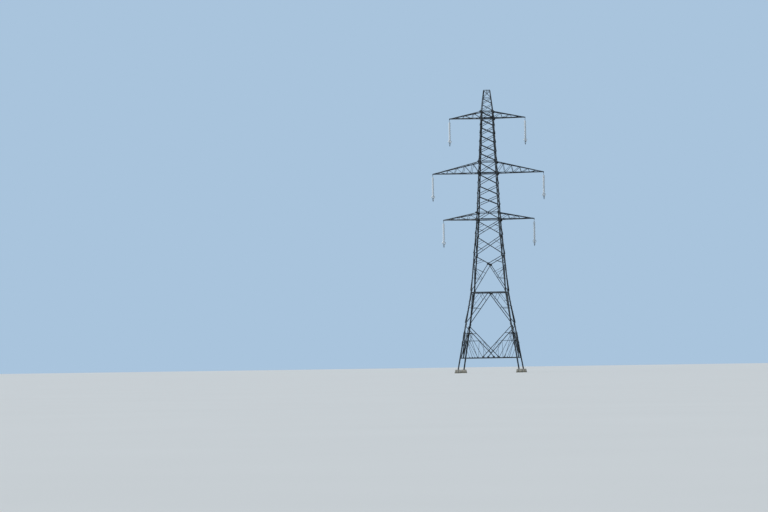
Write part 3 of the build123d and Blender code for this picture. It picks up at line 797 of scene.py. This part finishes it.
def glazed_porcelain(name):
    """Fired porcelain under a pale grey glaze: smooth and glossy, under a film of dust that rain leaves."""
    glaze, tree, place = new_material(name)
    # Dust in patches of about 40 mm
    dust = add_node(tree, "ShaderNodeTexNoise", {"Scale": 1 / 0.04, "Detail": 5, "Roughness": 0.6},
                    {"Vector": place})
    # Orange peel of the glaze, about 4 mm
    peel = add_node(tree, "ShaderNodeTexNoise", {"Scale": 1 / 0.004, "Detail": 1}, {"Vector": place})
    film = add_node(tree, "ShaderNodeMapRange", {"From Min": 0.45, "From Max": 0.7},
                    {"Value": dust.outputs["Fac"]})
    colour = add_node(tree, "ShaderNodeMix",
                      {"data_type": "RGBA", 6: linear("#e4e8ea"), 7: linear("#cbcecd")}, {0: film})
    gloss = add_node(tree, "ShaderNodeMapRange", {"To Min": 0.16, "To Max": 0.5}, {"Value": film})
    relief = add_node(tree, "ShaderNodeBump", {"Strength": 0.12, "Distance": 0.0004},
                      {"Height": peel.outputs["Fac"]})
    link_surface(tree, colour, gloss, relief).inputs["IOR"].default_value = 1.55
    return glaze


def turned(mesh, profile, top, sides):
    """A round form from its profile of (radius, depth under top) in millimetres, about the vertical axis."""
    rings = []
    for radius, depth in profile:
        z = top - depth / 1000
        if radius == 0:
            rings.append([mesh.verts.new((0, 0, z))])
        else:
            rings.append([mesh.verts.new((radius / 1000 * math.cos(a), radius / 1000 * math.sin(a), z))
                          for a in turns(sides)])
    for a, b in zip(rings, rings[1:]):
        if len(a) == len(b):
            join_rings(mesh, a, b)
        else:
            for k in range(sides):
                j = (k + 1) % sides
                mesh.faces.new([a[0], b[j], b[k]] if len(a) == 1 else [a[k], a[j], b[0]])


disc_glaze = glazed_porcelain("grey_glazed_porcelain")
cap_iron = cast_iron("galvanised_cast_iron", "#8b9194", "#bcc1c3")
DISCS = 20
PITCH = 0.073
# Depth of the top of the first cap under the shackle pin, and profiles of a cap, a pin and a disc
FIRST_CAP = 0.15
CAP = [(0, 0), (9, 0), (15, 2), (19.5, 7), (22.5, 17), (23.5, 27), (22, 31), (17, 31)]
PIN = [(7, 38), (7, 62), (10.5, 66), (10.5, 70), (6, 75), (0, 75)]
DISC = [(20, 22), (30, 21), (47, 22.5), (63, 27), (73, 34), (77, 41), (78, 51), (77.5, 63), (75, 67),
        (72.5, 63), (70, 50), (65, 45), (62, 46), (61, 58), (58.5, 60), (56, 58), (54, 44.5), (47, 44),
        (45, 57), (42.5, 58.5), (40, 57), (38, 43.5), (33, 43.5), (31, 52), (29, 52.5), (27, 43), (7, 41)]
discs = bmesh.new()
fittings = bmesh.new()
for k in range(DISCS):
    turned(discs, DISC, -FIRST_CAP - PITCH * k, 28)
    turned(fittings, CAP, -FIRST_CAP - PITCH * k, 14)
    turned(fittings, PIN, -FIRST_CAP - PITCH * k, 8)
# Shackle: two eyes on its pin, a bow of round bar, and the eye link that carries the first cap
EYE_SIDE = 0.0165
ROD = 0.0055
bow = [Vector((0, EYE_SIDE * math.cos(a), -0.048 - EYE_SIDE * math.sin(a)))
       for a in (math.pi * k / 8 for k in range(9))]
tube(fittings, [Vector((0, EYE_SIDE, 0)), *bow, Vector((0, -EYE_SIDE, 0))], ROD, 10)
for y in (-EYE_SIDE, EYE_SIDE):
    tube(fittings, [Vector((0, y - 0.0045, 0)), Vector((0, y + 0.0045, 0))], 0.0165, 16)
tube(fittings, [Vector((0, -0.0295, 0)), Vector((0, 0.0295, 0))], 0.0078, 12)
for way in (-1, 1):
    bolt(fittings, Vector((0, way * 0.0215, 0)), Vector((0, way, 0)), 0.024, 0.009)
eye = [Vector((0.014 * math.cos(a), 0, -0.07 + 0.017 * math.sin(a)))
       for a in (2 * math.pi * k / 16 + 0.1 for k in range(17))]
tube(fittings, eye, ROD, 10)
turned(fittings, [(0, 84), (8, 86), (9.5, 92), (8, 100), (8, 136), (11, 141), (11, 148), (7, 152)], 0, 12)
# Two link plates beside the eye link, bolted through at both ends
link = [(-0.013, -0.062), (0.013, -0.062), (0.019, -0.07), (0.019, -0.132), (0.013, -0.14), (-0.013, -0.14),
        (-0.019, -0.132), (-0.019, -0.07)]
for y, way in ((0.0115, 1), (-0.0165, -1)):
    prism(fittings, [Vector((x, y, z)) for x, z in link], [Vector((x, y + 0.005, z)) for x, z in link])
    for z in (-0.074, -0.128):
        bolt(fittings, Vector((0, way * 0.0165, z)), Vector((0, way, 0)), 0.017, 0.006)
# Arcing horn above, one prong to the front and one to the back
for way in (-1, 1):
    horn = [(0.012, -0.125), (0.07, -0.122), (0.115, -0.13), (0.138, -0.155), (0.142, -0.2)]
    tube(fittings, [Vector((0, way * y, z)) for y, z in horn], 0.0048)
# Fitting under the last disc, which carries the yoke
turned(fittings, [(0, 1604), (12, 1606), (13, 1616), (9, 1622), (9, 1640), (0, 1642)], 0, 12)


def finished(mesh, name, material):
    """Closes a mesh that several hung pieces share, rounded apart from its sharp edges."""
    data = close_mesh(mesh, name, material)
    data.shade_smooth()
    data.set_sharp_from_angle(angle=math.radians(38))
    return data


disc_mesh = finished(discs, "porcelain_discs", disc_glaze)
fitting_mesh = finished(fittings, "string_fittings", cap_iron)

# Two rings of bent aluminium tube stand at the foot, before and behind the last discs, each on an arm, with
# a sleeve over the joint of the tube
RING_OUT = 0.102
RING_WIDE, RING_TALL = 0.11, 0.1
ring_aluminium = cast_iron("weathered_aluminium_tube", "#aeb3b6", "#d9dddf")
rings = bmesh.new()
for way in (-1, 1):
    loop = [Vector((RING_WIDE * math.cos(a), way * RING_OUT, -1.592 + RING_TALL * math.sin(a)))
            for a in (2 * math.pi * k / 36 - math.pi / 2 for k in range(37))]
    tube(rings, loop, 0.0155, 12)
    sleeve = [(-0.02, -1.6902), (0, -1.692), (0.02, -1.6902)]
    tube(rings, [Vector((x, way * RING_OUT, z)) for x, z in sleeve], 0.0178, 12)
    arm_of_ring = [(0.005, -1.66), (0.05, -1.664), (0.085, -1.676), (RING_OUT, -1.69)]
    tube(rings, [Vector((0, way * y, z)) for y, z in arm_of_ring], 0.009)
ring_mesh = finished(rings, "field_rings", ring_aluminium)


# Depth of the shackle pin under the bottom chords
PIN_DROP = 0.055


def hang(data, kind, arm, hand, stands_for=None):
    """Hangs one shared mesh from the pin of an arm, in place of the solid that it stands for, if any."""
    z_low, _, span, _ = ARMS[arm]
    made = bpy.data.objects.new(f"{kind}_{arm}_{hand}", data)
    bpy.context.scene.collection.objects.link(made)
    made.location = (HANDS[hand] * span, 0, z_low - PIN_DROP)
    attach(made, f"insulator_set_{arm}_{hand}")
    if stands_for:
        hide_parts(f"{stands_for}_{arm}_{hand}")


for arm in ARMS:
    for hand in HANDS:
        hang(disc_mesh, "porcelain_discs", arm, hand, "insulator")
        hang(fitting_mesh, "string_fittings", arm, hand)
        hang(ring_mesh, "field_rings", arm, hand)


# Yokes and clamps
# A flat steel plate carries two clamps shaped like boats, the upper one in a window of the plate and the
# lower one under it. Each is cast in two halves, which straps hold to the plate and U-bolts draw together.

forged_steel = cast_iron("forged_fitting_steel", "#5c6062", "#9a9fa1")
yoke = bmesh.new()
# Right half of the outline of the plate, and of the rim of its window
right_edge = [(0.018, -1.62), (0.027, -1.634), (0.049, -1.678), (0.053, -1.69), (0.053, -1.8),
              (0.049, -1.812), (0.026, -1.896), (0.02, -1.92)]
right_rim = [(0.01, -1.729), (0.018, -1.729), (0.026, -1.732), (0.03, -1.738), (0.03, -1.79), (0.026, -1.796),
             (0.018, -1.799), (0.01, -1.799)]
edge = right_edge + on_half(-1, right_edge[::-1])
rim = right_rim + on_half(-1, right_rim[::-1])
PLATE_HALF = 0.005
skins = []
for y in (-PLATE_HALF, PLATE_HALF):
    skins.append([[yoke.verts.new((x, y, z)) for x, z in line] for line in (edge, rim)])
(edge_a, rim_a), (edge_b, rim_b) = skins
for a, b in ((edge_a, rim_a), (edge_b, rim_b), (edge_a, edge_b), (rim_a, rim_b)):
    join_rings(yoke, a, b)
for way in (-1, 1):
    for x, z in ((0, -1.638), (-0.04, -1.7), (0.04, -1.7), (-0.04, -1.792), (0.04, -1.792)):
        bolt(yoke, Vector((x, way * PLATE_HALF, z)), Vector((0, way, 0)), 0.022 if x == 0 else 0.012, 0.008)
# Rings of a clamp along its bore: place, radius of the bore, half width and half height in millimetres
CLAMP = [(-62, 9.5, 11, 10), (-50, 8.2, 13, 12), (-36, 7.4, 15.5, 15), (-14, 7.4, 16, 16.5),
         (14, 7.4, 16, 16.5), (36, 7.4, 15.5, 15), (50, 8.2, 13, 12), (62, 9.5, 11, 10)]
CLAMP_LEVELS = (-1.745, -1.935)
for level in CLAMP_LEVELS:
    outer, inner = [], []
    for place, bore, wide, tall in CLAMP:
        y = place / 1000
        for walls, across, up in ((outer, wide / 1000, tall / 1000), (inner, bore / 1000, bore / 1000)):
            walls.append([yoke.verts.new((across * math.cos(a), y, level + up * math.sin(a)))
                          for a in turns(20)])
    ends = (outer[0], inner[0]), (outer[-1], inner[-1])
    for a, b in (*zip(outer, outer[1:]), *zip(inner, inner[1:]), *ends):
        join_rings(yoke, a, b)
    # Two straps from the plate to the keeper of the clamp, and two U-bolts over it
    strap = [(-0.013, level + 0.045), (0.013, level + 0.045), (0.013, level + 0.013),
             (-0.013, level + 0.013)]
    for y in (-0.01, 0.006):
        prism(yoke, [Vector((x, y, z)) for x, z in strap], [Vector((x, y + 0.004, z)) for x, z in strap])
    for way in (-1, 1):
        bolt(yoke, Vector((0, way * 0.01, level + 0.032)), Vector((0, way, 0)), 0.016)
    for y in (-0.03, 0.03):
        u_bolt = [Vector((0.0165 * math.cos(a), y, level + 0.0165 * math.sin(a)))
                  for a in (math.pi * k / 6 for k in range(7))]
        tail = Vector((0, 0, 0.014))
        tube(yoke, [u_bolt[0] - tail, *u_bolt, u_bolt[-1] - tail], 0.003)
yoke_mesh = finished(yoke, "yoke_and_clamps", forged_steel)
for arm in ARMS:
    for hand in HANDS:
        hang(yoke_mesh, "yoke_and_clamps", arm, hand, "yoke")


# Studio
# A pale floor that runs to the horizon, a pale surround, and soft light from the upper left.

floor_mesh = bmesh.new()
bmesh.ops.create_grid(floor_mesh, x_segments=8, y_segments=8, size=3000)
floor_data = bpy.data.meshes.new("floor")
floor_mesh.to_mesh(floor_data)
floor_mesh.free()
floor = bpy.data.objects.new("floor", floor_data)
bpy.context.scene.collection.objects.link(floor)
pale_floor, floor_tree, floor_place = new_material("pale_studio_floor")
floor_shader = floor_tree.nodes["Principled BSDF"]
# Clouding about 2.5 m across
floor_noise = add_node(floor_tree, "ShaderNodeTexNoise", {"Scale": 0.4, "Detail": 3}, {"Vector": floor_place})
floor_tone = add_node(floor_tree, "ShaderNodeMix",
                      {"data_type": "RGBA", 6: linear("#e8e8e5"), 7: linear("#eeeeeb")},
                      {0: floor_noise.outputs["Fac"]})
floor_tree.links.new(floor_tone.outputs[2], floor_shader.inputs["Base Color"])
floor_shader.inputs["Roughness"].default_value = 0.9
floor_data.materials.append(pale_floor)

world = bpy.data.worlds.new("studio")
bpy.context.scene.world = world
world.use_nodes = True
light = world.node_tree
light.nodes.clear()
# The surround has its full strength where it is seen, in gloss too, and less as a light on the part
path = add_node(light, "ShaderNodeLightPath")
seen = add_node(light, "ShaderNodeMath", {"operation": "MAXIMUM"},
                {0: path.outputs["Is Camera Ray"], 1: path.outputs["Is Glossy Ray"]})
seen = add_node(light, "ShaderNodeMath", {"operation": "MAXIMUM"},
                {0: seen, 1: path.outputs["Is Transmission Ray"]})
strength = add_node(light, "ShaderNodeMapRange", {"To Min": 0.36, "To Max": 1.0}, {"Value": seen})
surround = add_node(light, "ShaderNodeBackground", {"Color": linear("#a9c4dd")},
                    {"Strength": strength})
add_node(light, "ShaderNodeOutputWorld", {}, {"Surface": surround})

key_data = bpy.data.lights.new("key", "SUN")
key_data.energy = 3.5
key_data.angle = math.radians(10)
key_data.color = (1.0, 0.98, 0.955)
key = bpy.data.objects.new("key", key_data)
key.rotation_euler = Vector((-0.86, -0.17, 0.48)).to_track_quat("Z", "Y").to_euler()
bpy.context.scene.collection.objects.link(key)

# The viewer is 191 m away, a little to the right of square, low down and with a long lens
viewer_data = bpy.data.cameras.new("viewer")
viewer_data.sensor_width = 36
viewer_data.lens = 121.9
viewer_data.clip_start = 1
viewer_data.clip_end = 6000
viewer = bpy.data.objects.new("viewer", viewer_data)
bpy.context.scene.collection.objects.link(viewer)
yaw, pitch, roll = (math.radians(angle) for angle in (7.148, 2.469, -0.821))
viewer.matrix_world = (Matrix.Translation((16.069, -190.325, 0.45)) @ Matrix.Rotation(yaw, 4, "Z")
                       @ Matrix.Rotation(math.pi / 2 + pitch, 4, "X") @ Matrix.Rotation(roll, 4, "Z"))
bpy.context.scene.camera = viewer
bpy.context.scene.view_settings.view_transform = "Standard"
